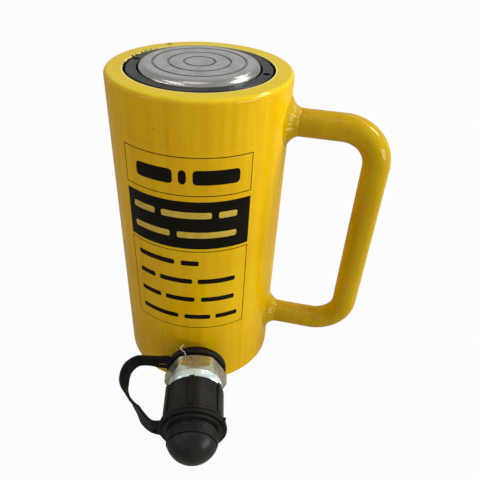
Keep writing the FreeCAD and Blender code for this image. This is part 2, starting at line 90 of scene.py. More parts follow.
# Camera, fitted to the photograph's 480 x 480 frame
camera = {
    "focalPixels": 495.48,
    "frameSize": 480,
    "centre": (225.69, 263.08),
    "distance": 211.24 * mm,
    "height": 215.89 * mm,
    "pitch": 0.6662,
    "yaw": 0.0657,
    "roll": 0.0392,
    "handleTurn": 15.4,
}


def placeCamera():
    data = bpy.data.cameras.new("view")
    data.sensor_width = 36
    data.lens = camera["focalPixels"] / camera["frameSize"] * data.sensor_width
    middle = camera["frameSize"] / 2
    data.shift_x = (middle - camera["centre"][0]) / camera["frameSize"]
    data.shift_y = (camera["centre"][1] - middle) / camera["frameSize"]
    data.clip_start = 0.005
    pitch, yaw, roll = camera["pitch"], camera["yaw"], camera["roll"]
    ahead = Vector((math.sin(yaw) * math.cos(pitch), math.cos(yaw) * math.cos(pitch), -math.sin(pitch)))
    right = ahead.cross(Vector((0, 0, 1))).normalized()
    top = right.cross(ahead)
    across = right * math.cos(roll) + top * math.sin(roll)
    upward = top * math.cos(roll) - right * math.sin(roll)
    turn = Matrix.Rotation(math.radians(camera["handleTurn"]), 3, "Z")
    basis = turn @ Matrix((across, upward, -ahead)).transposed()
    place = turn @ Vector((0, -camera["distance"], camera["height"]))
    view = bpy.data.objects.new("view", data)
    view.matrix_world = Matrix.Translation(place) @ basis.to_4x4()
    bpy.context.scene.collection.objects.link(view)
    bpy.context.scene.camera = view


placeCamera()
print("camera placed")

# Studio
studio = {
    "ambient": 0.28,
    "ambientColour": (1.0, 0.93, 0.80),
    "mirrored": 0.56,  # how much of the white room the glossy surfaces see
    "floorColour": (0.42, 0.39, 0.33),
    "floorGlow": 0.96,
    "floorMirrored": 0.15,  # how much of the white floor they see
    "floorSize": 6.0,
    "aim": (0, 0, 0.08),  # every lamp points here
    "lamps": {
        "overhead": {"place": (-0.05, -0.25, 0.95), "size": (0.42, 0.42), "power": 0.6},
        "rightWindow": {
            "place": (0.76, 0.17, 0.66), "size": (0.30, 0.30), "power": 6.2, "colour": (0.95, 1.0, 0.95),
        },
        "rightStrip": {"place": (0.35, 0.42, 0.72), "size": (0.60, 0.03), "power": 1.1},
        "rightFill": {
            "place": (0.97, -0.36, 0.12), "size": (0.50, 0.30), "power": 5.0, "colour": (0.90, 1.0, 0.86),
        },
        "leftStrip": {"place": (-0.40, -0.48, 0.72), "size": (0.50, 0.025), "power": 0.7},
        "lowStrip": {"place": (-0.72, -0.50, 0.30), "size": (0.50, 0.035), "power": 0.6},
        "frontFill": {"place": (-0.45, -0.80, 0.40), "size": (0.70, 0.70), "power": 0.62},
    },
}


def addNode(tree, kind, inputs=None, **settings):
    node = tree.nodes.new(kind)
    for key, value in settings.items():
        setattr(node, key, value)
    for key, value in (inputs or {}).items():
        if isinstance(value, bpy.types.NodeSocket):
            tree.links.new(value, node.inputs[key])
        else:
            node.inputs[key].default_value = value
    return node


def arith(tree, operation, *values, clamp=False):
    inputs = dict(enumerate(values))
    return addNode(tree, "ShaderNodeMath", inputs, operation=operation, use_clamp=clamp).outputs[0]


def tint(tree, factor, first, second):
    node = tree.nodes.new("ShaderNodeMix")
    node.data_type = "RGBA"
    for index, value in ((0, factor), (6, first), (7, second)):
        if isinstance(value, bpy.types.NodeSocket):
            tree.links.new(value, node.inputs[index])
        else:
            node.inputs[index].default_value = value if index == 0 else (*value, 1)
    return node.outputs[2]


def seenDirectly(tree, mirrored):  # one for camera and transmission rays, and a share for glossy rays
    path = addNode(tree, "ShaderNodeLightPath")
    glossy = arith(tree, "MULTIPLY", path.outputs["Is Glossy Ray"], mirrored)
    shown = arith(tree, "MAXIMUM", path.outputs["Is Camera Ray"], glossy)
    return arith(tree, "MAXIMUM", shown, path.outputs["Is Transmission Ray"])


def buildStudio():
    scene = bpy.context.scene
    scene.view_settings.view_transform = "Standard"
    world = bpy.data.worlds.new("softRoom")
    world.use_nodes = True
    scene.world = world
    tree = world.node_tree
    light = tree.nodes["Background"]
    shown = seenDirectly(tree, studio["mirrored"])
    strength = arith(tree, "MAXIMUM", shown, studio["ambient"])
    colour = tint(tree, arith(tree, "CEIL", shown), studio["ambientColour"], (1, 1, 1))
    tree.links.new(colour, light.inputs["Color"])
    tree.links.new(strength, light.inputs["Strength"])

    floorMesh = bpy.data.meshes.new("floor")
    half = studio["floorSize"] / 2
    corners = [(-half, -half, 0), (half, -half, 0), (half, half, 0), (-half, half, 0)]
    floorMesh.from_pydata(corners, [], [(0, 1, 2, 3)])
    floor = bpy.data.objects.new("floor", floorMesh)
    scene.collection.objects.link(floor)
    paper = bpy.data.materials.new("paper")
    paper.use_nodes = True
    tree = paper.node_tree
    tree.nodes.clear()
    diffuse = addNode(tree, "ShaderNodeBsdfDiffuse", {"Color": (*studio["floorColour"], 1)})
    glow = addNode(tree, "ShaderNodeEmission", {"Color": (1, 1, 1, 1), "Strength": 1.0})
    share = arith(tree, "MULTIPLY", seenDirectly(tree, studio["floorMirrored"]), studio["floorGlow"])
    mixed = addNode(tree, "ShaderNodeMixShader", {0: share, 1: diffuse.outputs[0], 2: glow.outputs[0]})
    addNode(tree, "ShaderNodeOutputMaterial", {"Surface": mixed.outputs[0]})
    floorMesh.materials.append(paper)

    for name, lamp in studio["lamps"].items():
        data = bpy.data.lights.new(name, "AREA")
        data.shape = "RECTANGLE"
        data.size, data.size_y = lamp["size"]
        data.energy = lamp["power"]
        data.color = lamp.get("colour", (1, 1, 1))
        shape = bpy.data.objects.new(name, data)
        shape.location = lamp["place"]
        aim = Vector(studio["aim"]) - Vector(lamp["place"])
        shape.rotation_euler = aim.to_track_quat("-Z", "Y").to_euler()
        scene.collection.objects.link(shape)


buildStudio()
print("studio built")


# Small helpers for the finishes
def newFinish(name, colour, metallic, roughness, **sockets):
    material = bpy.data.materials.new(name)
    material.use_nodes = True
    surface = material.node_tree.nodes["Principled BSDF"]
    values = {"Base Color": (*colour, 1), "Metallic": metallic, "Roughness": roughness}
    values.update({key.replace("_", " "): value for key, value in sockets.items()})
    for socket, value in values.items():
        surface.inputs[socket].default_value = value
    return material, material.node_tree, surface


def placeOn(tree):
    return addNode(tree, "ShaderNodeTexCoord").outputs["Object"]


def grain(tree, place, scale, detail=2.0, stretch=(1, 1, 1)):
    spot = addNode(tree, "ShaderNodeMapping", {"Vector": place, "Scale": stretch}).outputs[0]
    return addNode(tree, "ShaderNodeTexNoise", {"Vector": spot, "Scale": scale, "Detail": detail}).outputs[0]


def spread(tree, value, low, high, start=0.0, end=1.0):
    inputs = {0: value, 1: low, 2: high, 3: start, 4: end}
    return addNode(tree, "ShaderNodeMapRange", inputs, clamp=True).outputs[0]


def bumps(tree, surface, layers):  # layers of (height, distance in metres), one on the other
    normal = None
    for height, distance in layers:
        node = addNode(tree, "ShaderNodeBump", {"Height": height, "Distance": distance, "Strength": 1.0})
        if normal is not None:
            tree.links.new(normal, node.inputs["Normal"])
        normal = node.outputs[0]
    tree.links.new(normal, surface.inputs["Normal"])


def axisRadius(tree, place):  # distance from the body's axis
    flat = addNode(tree, "ShaderNodeVectorMath", {0: place, 1: (1, 1, 0)}, operation="MULTIPLY")
    return addNode(tree, "ShaderNodeVectorMath", {0: flat.outputs[0]}, operation="LENGTH").outputs["Value"]


def portPlace(tree, place):  # (side, out, up) of a point in the port frame
    centre = (0, 0, portHeight)
    moved = addNode(tree, "ShaderNodeVectorMath", {0: place, 1: centre}, operation="SUBTRACT").outputs[0]
    parts = []
    for axis in (portSide, portOut, portUp):
        dot = addNode(tree, "ShaderNodeVectorMath", {0: moved, 1: tuple(axis)}, operation="DOT_PRODUCT")
        parts.append(dot.outputs["Value"])
    return parts


def portRadius(tree, place):
    side, out, up = portPlace(tree, place)
    total = arith(tree, "ADD", arith(tree, "MULTIPLY", side, side), arith(tree, "MULTIPLY", up, up))
    return arith(tree, "SQRT", total)


def spots(tree, place, spotList, rough):  # one inside any spot, with an uneven edge
    mask = None
    for centre, size in spotList:
        away = addNode(tree, "ShaderNodeVectorMath", {0: place, 1: tuple(centre)}, operation="DISTANCE")
        edge = arith(tree, "MULTIPLY_ADD", rough, size, away.outputs["Value"])
        inside = arith(tree, "LESS_THAN", edge, size * 1.5)
        mask = inside if mask is None else arith(tree, "MAXIMUM", mask, inside)
    return mask


# Paint
paint = {
    "body": {"colour": (0.84, 0.51, 0.004), "deep": (0.71, 0.37, 0.002)},
    # the handle's paint is the body's paint made darker: painted shade on the handle and its welds
    "handle": {"colour": (0.60, 0.37, 0.001), "deep": (0.47, 0.27, 0.001)},
    # painted light: the rim's top and upper edge are coloured paler, as if lit from above
    "paintedTopLightColour": (0.78, 0.56, 0.015),
    # painted highlight: a pale line on the rim's rounded inner edge
    "paintedEdgeReflection": (0.97, 0.84, 0.30),
    "chipColour": (0.035, 0.025, 0.014),
    "trailColour": (0.42, 0.22, 0.004),
    "roughness": 0.3,
    "roughFrom": 0.24,
    "roughTo": 0.40,
    "trails": 0.30,  # how strongly brownish trails show down the wall
    "coat": {"IOR": 1.04, "Coat_Weight": 0.36, "Coat_Roughness": 0.05},  # a thin worn gloss over duller paint
    "runDepth": 0.12 * mm,
    "lumpDepth": 0.10 * mm,
    "peelDepth": 0.015 * mm,
    "chipDepth": 0.12 * mm,
    "paintedTopLightDepth": 1.1 * mm,  # the painted light of the rim top goes this far down from the rim
    "paintedHighlightRadius": 32.05 * mm,  # inside this the rim's edge gets a pale painted highlight
    "mouthRadius": 31.61 * mm,  # inside this the mouth's wall is bare and oily
    "chips": [  # azimuth, radius in mm, depth under the rim in mm, size in mm
        (128.6, 35.4, 0.0, 0.85),
        (130.9, 35.7, 0.0, 0.50),
        (126.8, 35.1, 0.0, 0.35),
        (143.8, 31.9, 0.0, 0.40),
        (148.8, 32.1, 0.0, 0.50),
        (151.5, 31.9, 0.0, 0.40),
        (154.2, 32.0, 0.0, 0.55),
        (158.8, 31.8, 0.0, 0.45),
        (166.3, 31.6, 0.0, 0.60),
        (170.8, 31.6, 0.0, 0.75),
        (-171.3, 31.6, 0.0, 0.55),
        (-166.3, 31.6, 0.0, 0.70),
        (-103.0, 39.3, 21.0, 0.45),
        (-100.5, 39.3, 12.5, 0.30),
    ],
}


def mottledPaint(tree, place, shades):  # clouds and upright streaks of a deeper shade
    cloudy = spread(tree, grain(tree, place, 28, 3), 0.35, 0.7)
    streaks = spread(tree, grain(tree, place, 1, 3, (260, 260, 9)), 0.35, 0.75)
    mottled = arith(tree, "MULTIPLY_ADD", streaks, 0.5, arith(tree, "MULTIPLY", cloudy, 0.5))
    return tint(tree, mottled, shades["colour"], shades["deep"])


def bumpAll(tree, surface, layers):  # the same relief for the paint and its gloss
    bumps(tree, surface, layers)
    tree.links.new(surface.inputs["Normal"].links[0].from_socket, surface.inputs["Coat Normal"])


def paintFinish(name, shades, chipped):
    material, tree, surface = newFinish(name, shades["colour"], 0.0, paint["roughness"], **paint["coat"])
    place = placeOn(tree)
    colour = mottledPaint(tree, place, shades)
    peel = grain(tree, place, 420, 1)
    runs = grain(tree, place, 1, 1, (190, 190, 22))
    lumps = grain(tree, place, 95, 2)
    layers = [(runs, paint["runDepth"]), (lumps, paint["lumpDepth"]), (peel, paint["peelDepth"])]
    gloss = spread(tree, grain(tree, place, 60, 3), 0.3, 0.75, paint["roughFrom"], paint["roughTo"])
    trails = spread(tree, grain(tree, place, 1, 4, (420, 420, 14)), 0.56, 0.78, 0.0, paint["trails"])
    colour = tint(tree, trails, colour, paint["trailColour"])
    if chipped:
        rough = grain(tree, place, 1500, 3)
        radius = axisRadius(tree, place)
        height = addNode(tree, "ShaderNodeSeparateXYZ", {0: place}).outputs[2]
        # painted light: the top of the rim is coloured paler, as if lit from above
        paintedTopLight = spread(tree, height, bodyTop - paint["paintedTopLightDepth"], bodyTop - 0.1 * mm)
        colour = tint(tree, paintedTopLight, colour, paint["paintedTopLightColour"])
        # painted highlight: a pale line along the rim's inner edge
        nearTop = arith(tree, "GREATER_THAN", height, bodyTop - 0.3 * mm)
        innerEdge = arith(tree, "LESS_THAN", radius, paint["paintedHighlightRadius"])
        line = arith(tree, "MULTIPLY", nearTop, innerEdge)
        colour = tint(tree, line, colour, paint["paintedEdgeReflection"])
        chips = [(aroundBody(a, r * mm, bodyTop - d * mm), s * mm) for a, r, d, s in paint["chips"]]
        bare = spots(tree, place, chips, rough)
        inside = arith(tree, "LESS_THAN", radius, paint["mouthRadius"])
        deep = arith(tree, "LESS_THAN", height, bodyTop - 0.5 * mm)
        bare = arith(tree, "MAXIMUM", bare, arith(tree, "MULTIPLY", inside, deep))
        colour = tint(tree, bare, colour, paint["chipColour"])
        layers.append((arith(tree, "SUBTRACT", 1.0, bare), paint["chipDepth"]))
    tree.links.new(colour, surface.inputs["Base Color"])
    tree.links.new(gloss, surface.inputs["Roughness"])
    bumpAll(tree, surface, layers)
    return material


# Metals
metals = {
    "turned": {
        # edge colour: a painted dark reflection on the saddle's rolled edge
        "colour": (0.58, 0.58, 0.56), "dark": (0.42, 0.41, 0.385), "paintedEdgeReflection": (0.40, 0.385, 0.36),
        # groove colour: oil and painted shade in the turned grooves, and the dark of the pits
        "oilAndShadeColour": (0.16, 0.15, 0.135), "grooveWidth": 0.75 * mm, "grooves": 3, "edge": 3.0 * mm,
    },
    "plated": {"colour": (0.66, 0.67, 0.69), "roughness": 0.13},
    "oxide": {"colour": (0.012, 0.012, 0.012), "roughness": 0.34},
    "yellowZinc": {"colour": (0.66, 0.67, 0.53), "dark": (0.22, 0.20, 0.12), "worn": (0.82, 0.82, 0.74)},
    "brightZinc": {"colour": (0.78, 0.93, 0.97), "dark": (0.42, 0.48, 0.49)},
}


def lathed(tree, radius, scale):  # fine rings left by a turning tool
    ring = addNode(tree, "ShaderNodeCombineXYZ", {0: radius})
    noisy = addNode(tree, "ShaderNodeTexNoise", {"Vector": ring.outputs[0], "Scale": scale, "Detail": 3.0})
    return noisy.outputs[0]


def turnedSteel():
    look = metals["turned"]
    material, tree, surface = newFinish("turnedSteel", look["colour"], 1.0, 0.3)
    place = placeOn(tree)
    radius = axisRadius(tree, place)
    rings = lathed(tree, radius, 2600)
    stains = spread(tree, grain(tree, place, 160, 4), 0.42, 0.75)
    pits = spread(tree, grain(tree, place, 900, 2), 0.70, 0.74)
    colour = tint(tree, stains, look["colour"], look["dark"])
    colour = tint(tree, arith(tree, "MULTIPLY", pits, 0.55), colour, look["oilAndShadeColour"])
    outer = saddleHigh.x - look["edge"]
    pitch = outer / (look["grooves"] + 0.5)
    height = addNode(tree, "ShaderNodeSeparateXYZ", {0: place}).outputs[2]
    top = arith(tree, "GREATER_THAN", height, saddleHigh.z - 0.6 * mm)
    rolled = spread(tree, radius, outer, outer + 1.4 * mm)  # the rolled edge is smoother, and its colour is darkened as a painted dark reflection
    colour = tint(tree, rolled, colour, look["paintedEdgeReflection"])
    # groove lines: oil and painted shade in the turned grooves
    for index in range(look["grooves"]):
        off = arith(tree, "ABSOLUTE", arith(tree, "SUBTRACT", radius, pitch * (index + 1)))
        line = arith(tree, "MULTIPLY", spread(tree, off, look["grooveWidth"], 0.0, 0.0, 0.9), top)
        colour = tint(tree, line, colour, look["oilAndShadeColour"])
    tree.links.new(colour, surface.inputs["Base Color"])
    brushed = grain(tree, place, 1, 4, (900, 90, 200))
    ringed = spread(tree, rings, 0.3, 0.7, 0.24, 0.36)
    roughness = arith(tree, "ADD", ringed, arith(tree, "MULTIPLY", stains, 0.12))
    roughness = arith(tree, "MULTIPLY_ADD", rolled, -0.10, roughness)
    tree.links.new(roughness, surface.inputs["Roughness"])
    dents = grain(tree, place, 70, 1)
    unpitted = arith(tree, "SUBTRACT", 1.0, pits)
    bumps(tree, surface, [(dents, 0.00010), (rings, 0.00002), (brushed, 0.00003), (unpitted, 0.00005)])
    return material


def platedRod():
    look = metals["plated"]
    material, tree, surface = newFinish("platedRod", look["colour"], 1.0, look["roughness"])
    place = placeOn(tree)
    ground = grain(tree, place, 1, 3, (60, 60, 3500))
    tree.links.new(spread(tree, ground, 0.3, 0.7, 0.10, 0.20), surface.inputs["Roughness"])
    bumps(tree, surface, [(ground, 0.00001)])
    return material


def blackOxide():
    look = metals["oxide"]
    shine = {"Specular_IOR_Level": 0.30}
    material, tree, surface = newFinish("blackOxide", look["colour"], 0.30, look["roughness"], **shine)
    place = placeOn(tree)
    rings = lathed(tree, axisRadius(tree, place), 1900)
    dust = spread(tree, grain(tree, place, 220, 4), 0.45, 0.8, 0.0, 0.35)
    tree.links.new(tint(tree, dust, look["colour"], (0.075, 0.072, 0.068)), surface.inputs["Base Color"])
    tree.links.new(spread(tree, rings, 0.3, 0.7, 0.28, 0.45), surface.inputs["Roughness"])
    bumps(tree, surface, [(rings, 0.00002), (grain(tree, place, 600, 2), 0.00003)])
    return material


def yellowZinc():
    look = metals["yellowZinc"]
    material, tree, surface = newFinish("yellowZinc", look["colour"], 1.0, 0.36)
    place = placeOn(tree)
    radius = portRadius(tree, place)
    patchy = spread(tree, grain(tree, place, 190, 4), 0.38, 0.66)
    flecks = spread(tree, grain(tree, place, 1100, 2), 0.66, 0.70)
    colour = tint(tree, arith(tree, "MULTIPLY", patchy, 0.7), look["colour"], look["dark"])
    colour = tint(tree, flecks, colour, (0.03, 0.025, 0.018))
    uneven = arith(tree, "MULTIPLY_ADD", grain(tree, place, 500, 2), 0.8 * mm, radius)
    worn = spread(tree, uneven, 15.1 * mm, 15.7 * mm)  # the hexagon's corners
    colour = tint(tree, worn, colour, look["worn"])
    tree.links.new(colour, surface.inputs["Base Color"])
    tree.links.new(spread(tree, patchy, 0.0, 1.0, 0.28, 0.5), surface.inputs["Roughness"])
    milled = grain(tree, place, 1, 3, (500, 500, 2200))
    bumps(tree, surface, [(grain(tree, place, 240, 3), 0.00010), (milled, 0.00002)])
    return material


def brightZinc():
    look = metals["brightZinc"]
    material, tree, surface = newFinish("brightZinc", look["colour"], 0.40, 0.2)
    place = placeOn(tree)
    out = portPlace(tree, place)[1]
    ring = addNode(tree, "ShaderNodeCombineXYZ", {0: out})
    turned = addNode(tree, "ShaderNodeTexNoise", {"Vector": ring.outputs[0], "Scale": 2400.0, "Detail": 2.0})
    turned = turned.outputs[0]
    patchy = spread(tree, grain(tree, place, 260, 3), 0.45, 0.7, 0.0, 0.5)
    tree.links.new(tint(tree, patchy, look["colour"], look["dark"]), surface.inputs["Base Color"])
    tree.links.new(spread(tree, turned, 0.3, 0.7, 0.14, 0.30), surface.inputs["Roughness"])
    bumps(tree, surface, [(turned, 0.00002), (grain(tree, place, 400, 2), 0.00004)])
    return material


def plainMetal(name, colour, roughness, scale):
    material, tree, surface = newFinish(name, colour, 1.0, roughness)
    place = placeOn(tree)
    marks = grain(tree, place, scale, 3)
    dark = tuple(value * 0.6 for value in colour)
    tree.links.new(tint(tree, spread(tree, marks, 0.4, 0.75), colour, dark), surface.inputs["Base Color"])
    tree.links.new(spread(tree, marks, 0.3, 0.7, roughness * 0.8, roughness * 1.3), surface.inputs["Roughness"])
    bumps(tree, surface, [(marks, 0.00003)])
    return material


# Rubbers and plastics
soft = {
    "capPlastic": {
        "colour": (0.011, 0.011, 0.010), "dust": (0.028, 0.027, 0.024), "shine": 0.18,
        "roughness": (0.26, 0.42), "grain": 700, "depth": 0.00002,
    },
    "strapRubber": {
        "colour": (0.006, 0.006, 0.005), "dust": (0.018, 0.017, 0.013), "shine": 0.12,
        "roughness": (0.34, 0.55), "grain": 520, "depth": 0.00003,
    },
    "sealRubber": {
        "colour": (0.012, 0.012, 0.012), "dust": (0.030, 0.029, 0.027), "shine": 0.25,
        "roughness": (0.40, 0.55), "grain": 600, "depth": 0.00003,
    },
    "hardPlastic": {
        "colour": (0.55, 0.53, 0.48), "dust": (0.42, 0.40, 0.35), "shine": 0.5,
        "roughness": (0.35, 0.50), "grain": 500, "depth": 0.00002,
    },
    "labelInk": {
        "colour": (0.005, 0.004, 0.002), "dust": (0.012, 0.009, 0.003), "shine": 0.08,
        "roughness": (0.22, 0.34), "grain": 90, "depth": 0.00001,
    },
}


def softFinish(name):
    look = soft[name]
    shine = {"Specular_IOR_Level": look["shine"]}
    material, tree, surface = newFinish(name, look["colour"], 0.0, look["roughness"][0], **shine)
    place = placeOn(tree)
    dust = spread(tree, grain(tree, place, 140, 4), 0.46, 0.80, 0.0, 0.6)
    tree.links.new(tint(tree, dust, look["colour"], look["dust"]), surface.inputs["Base Color"])
    fine = grain(tree, place, look["grain"], 3)
    tree.links.new(spread(tree, fine, 0.3, 0.7, *look["roughness"]), surface.inputs["Roughness"])
    bumps(tree, surface, [(fine, look["depth"])])
    return material


finishes = {
    # painted shade: the handle and welds wear a darker copy of the body paint
    "yellow_paint": paintFinish("handlePaintShaded", paint["handle"], False),
    "bodyPaint": paintFinish("bodyPaint", paint["body"], True),
    "black_oxide": blackOxide(),
    "turned_steel": turnedSteel(),
    "plated_rod": platedRod(),
    "machined_steel": plainMetal("machinedSteel", (0.42, 0.42, 0.42), 0.32, 500),
    "spring_steel": plainMetal("springSteel", (0.20, 0.20, 0.21), 0.38, 700),
    "bronze": plainMetal("bronze", (0.50, 0.30, 0.12), 0.34, 400),
    "yellow_zinc": yellowZinc(),
    "bright_zinc": brightZinc(),
    "black_plastic": softFinish("capPlastic"),
    "black_rubber": softFinish("strapRubber"),
    "seal_rubber": softFinish("sealRubber"),
    "hard_plastic": softFinish("hardPlastic"),
    "labelInk": softFinish("labelInk"),
}


def dressNodes():
    slotOf = {part["node"]: part["material_slot"] for part in frame["record"]["subparts"]}
    for name, node in nodes.items():
        look = "bodyPaint" if name == "cylinder_body" else slotOf[name]
        node.data.materials.clear()
        node.data.materials.append(finishes[look])


dressNodes()
print("finishes on", len(nodes), "nodes")


# Mesh helpers
def meshObject(name, bm, finish, smooth=True):
    bmesh.ops.remove_doubles(bm, verts=bm.verts, dist=1e-6)
    bmesh.ops.recalc_face_normals(bm, faces=bm.faces)
    mesh = bpy.data.meshes.new(name)
    bm.to_mesh(mesh)
    bm.free()
    for face in mesh.polygons:
        face.use_smooth = smooth
    if finish:
        mesh.materials.append(finishes[finish])
    shape = bpy.data.objects.new(name, mesh)
    bpy.context.scene.collection.objects.link(shape)
    return shape


def freeze(shape):  # the evaluated result becomes a plain mesh
    result = bpy.data.meshes.new_from_object(shape.evaluated_get(bpy.context.evaluated_depsgraph_get()))
    shape.modifiers.clear()
    shape.data = result
    return shape


def skin(bm, rows, closedRows=False, closedColumns=True):
    grid = [[bm.verts.new(point) for point in row] for row in rows]
    rowCount, columns = len(grid), len(grid[0])
    for i in range(rowCount if closedRows else rowCount - 1):
        for j in range(columns if closedColumns else columns - 1):
            a, b = grid[i], grid[(i + 1) % rowCount]
            bm.faces.new((a[j], a[(j + 1) % columns], b[(j + 1) % columns], b[j]))
    return grid


def smoothLine(points, steps):  # a Catmull-Rom line through tuples of any length
    line = []
    last = len(points) - 1
    for index in range(last):
        before, after = points[max(index - 1, 0)], points[min(index + 2, last)]
        for step in range(steps):
            t = step / steps
            line.append(tuple(
                0.5 * (2 * b + (c - a) * t + (2 * a - 5 * b + 4 * c - d) * t * t
                       + (3 * b - a - 3 * c + d) * t ** 3)
                for a, b, c, d in zip(before, points[index], points[index + 1], after)
            ))
    line.append(tuple(points[last]))
    return line


def roundedSection(width, thickness, radius, steps=4):
    corners = []
    for sx, sy, start in ((1, 1, 0), (-1, 1, 90), (-1, -1, 180), (1, -1, 270)):
        for step in range(steps + 1):
            angle = math.radians(start + 90 * step / steps)
            corners.append((
                sx * (width / 2 - radius) + radius * math.cos(angle),
                sy * (thickness / 2 - radius) + radius * math.sin(angle),
            ))
    return corners


# Geometry node trees
def geometryTree(name, inputs):
    tree = bpy.data.node_groups.new(name, "GeometryNodeTree")
    tree.interface.new_socket("Geometry", in_out="INPUT", socket_type="NodeSocketGeometry")
    for label, kind, value in inputs:
        socket = tree.interface.new_socket(label, in_out="INPUT", socket_type="NodeSocket" + kind)
        if value is not None:
            socket.default_value = value
    tree.interface.new_socket("Geometry", in_out="OUTPUT", socket_type="NodeSocketGeometry")
    return tree, tree.nodes.new("NodeGroupInput"), tree.nodes.new("NodeGroupOutput")


def finishTree(tree, shape, given, result):
    real = addNode(tree, "GeometryNodeRealizeInstances", {"Geometry": shape})
    dressed = addNode(tree, "GeometryNodeSetMaterial", {
        "Geometry": real.outputs[0], "Material": given.outputs["Material"],
    })
    tree.links.new(dressed.outputs[0], result.inputs["Geometry"])


def useTree(shape, tree, values):
    modifier = shape.modifiers.new(tree.name, "NODES")
    modifier.node_group = tree
    for item in tree.interface.items_tree:
        if item.item_type == "SOCKET" and item.in_out == "INPUT" and item.name in values:
            modifier[item.identifier] = values[item.name]
    return freeze(shape)


def buildWrapTree():  # bends a flat sheet, X along and Y up, round the body
    tree, given, result = geometryTree("wrapRound", [
        ("Radius", "Float", 0.04), ("Middle", "Float", 0.0), ("Material", "Material", None),
    ])
    flat = addNode(tree, "ShaderNodeSeparateXYZ", {0: addNode(tree, "GeometryNodeInputPosition").outputs[0]})
    along, height, lift = flat.outputs
    turn = arith(tree, "ADD", arith(tree, "DIVIDE", along, given.outputs["Radius"]), given.outputs["Middle"])
    radius = arith(tree, "ADD", given.outputs["Radius"], lift)
    x = arith(tree, "MULTIPLY", radius, arith(tree, "COSINE", turn))
    y = arith(tree, "MULTIPLY", radius, arith(tree, "SINE", turn))
    place = addNode(tree, "ShaderNodeCombineXYZ", {0: x, 1: y, 2: height})
    moved = addNode(tree, "GeometryNodeSetPosition", {
        "Geometry": given.outputs["Geometry"], "Position": place.outputs[0],
    })
    finishTree(tree, moved.outputs[0], given, result)
    return tree


def buildThreadTree():  # a ridge wound round Z, with its ends faded into the core
    tree, given, result = geometryTree("windThread", [
        ("Radius", "Float", 0.01), ("Pitch", "Float", 0.0015), ("Turns", "Float", 4.0),
        ("Ridge", "Float", 0.0004), ("Fade", "Float", 0.08), ("Material", "Material", None),
    ])
    height = arith(tree, "MULTIPLY", given.outputs["Pitch"], given.outputs["Turns"])
    helix = addNode(tree, "GeometryNodeCurveSpiral", {
        "Resolution": 72, "Rotations": given.outputs["Turns"], "Start Radius": given.outputs["Radius"],
        "End Radius": given.outputs["Radius"], "Height": height,
    })
    share = addNode(tree, "GeometryNodeSplineParameter").outputs["Factor"]
    fade = given.outputs["Fade"]
    rise = arith(tree, "DIVIDE", share, fade, clamp=True)
    fall = arith(tree, "DIVIDE", arith(tree, "SUBTRACT", 1.0, share), fade, clamp=True)
    size = arith(tree, "MAXIMUM", arith(tree, "MULTIPLY", rise, fall), 0.05)
    sized = addNode(tree, "GeometryNodeSetCurveRadius", {"Curve": helix.outputs[0], "Radius": size})
    ridgeSize = {"Resolution": 8, "Radius": given.outputs["Ridge"]}
    section = addNode(tree, "GeometryNodeCurvePrimitiveCircle", ridgeSize)
    ridge = addNode(tree, "GeometryNodeCurveToMesh", {
        "Curve": sized.outputs[0], "Profile Curve": section.outputs[0], "Fill Caps": True,
    })
    smooth = addNode(tree, "GeometryNodeSetShadeSmooth", {"Geometry": ridge.outputs[0]})
    finishTree(tree, smooth.outputs[0], given, result)
    return tree


wrapTree = buildWrapTree()
threadTree = buildThreadTree()

# Label: a clear film with plain fields and bars, and nothing to read
label = {
    "middle": -83.5,  # degrees round the body
    "width": 56.2,
    "line": 0.34,
    "titleBox": (114.0, 131.0),
    "band": (88.0, 111.5),
    "listBox": (40.0, 86.6),
    "filmMargin": (3.0, 3.4),
    "filmLift": 0.05,
    "inkLift": 0.09,
    "titleRow": {"height": 122.4, "size": 6.4, "words": [(-21.5, -5.0), (-2.6, 0.6), (3.2, 22.5)]},
    "bandRows": [
        {"height": 105.0, "size": 3.0, "words": [(-24.5, -13.5), (-10.5, 11.0), (14.0, 22.0)]},
        {"height": 95.2, "size": 3.0, "words": [(-24.5, -7.0), (-3.8, 22.0)]},
    ],
    "listRows": [
        {"height": 80.0, "size": 2.7, "words": [(-24.0, -5.5), (-2.5, 5.5)]},
        {"height": 69.6, "size": 2.7, "words": [(-24.0, -15.5), (-13.0, 2.5), (5.0, 22.5)]},
        {"height": 58.6, "size": 2.7, "words": [(-24.0, -13.0), (-10.5, 3.5), (6.5, 22.5)]},
        {"height": 47.4, "size": 2.7, "words": [(-24.0, -4.5), (-1.5, 11.0), (13.5, 24.5)]},
    ],
}


def flatBar(bm, left, right, low, high, rounded=0.0, lift=0.0):
    columns = max(int((right - left) / (0.7 * mm)) + 1, 3)
    edges = []
    for index in range(columns + 1):
        share = index / columns
        if rounded:
            share = (1 - math.cos(math.pi * share)) / 2  # closer columns at the rounded ends
        x = left + (right - left) * share
        end = min(x - left, right - x)
        inset = rounded - math.sqrt(max(rounded ** 2 - (rounded - end) ** 2, 0.0)) if end < rounded else 0.0
        edges.append([(x, low + inset, lift), (x, high - inset, lift)])
    skin(bm, edges, closedColumns=False)


def flatFrame(bm, left, right, low, high, line, lift):
    flatBar(bm, left, right, low, low + line, lift=lift)
    flatBar(bm, left, right, high - line, high, lift=lift)
    flatBar(bm, left, left + line, low + line, high - line, lift=lift)
    flatBar(bm, right - line, right, low + line, high - line, lift=lift)


def wordBars(bm, row, lift):
    size = row["size"] * mm
    low = row["height"] * mm - size / 2
    for left, right in row["words"]:
        flatBar(bm, left * mm, right * mm, low, low + size, size * 0.28, lift)


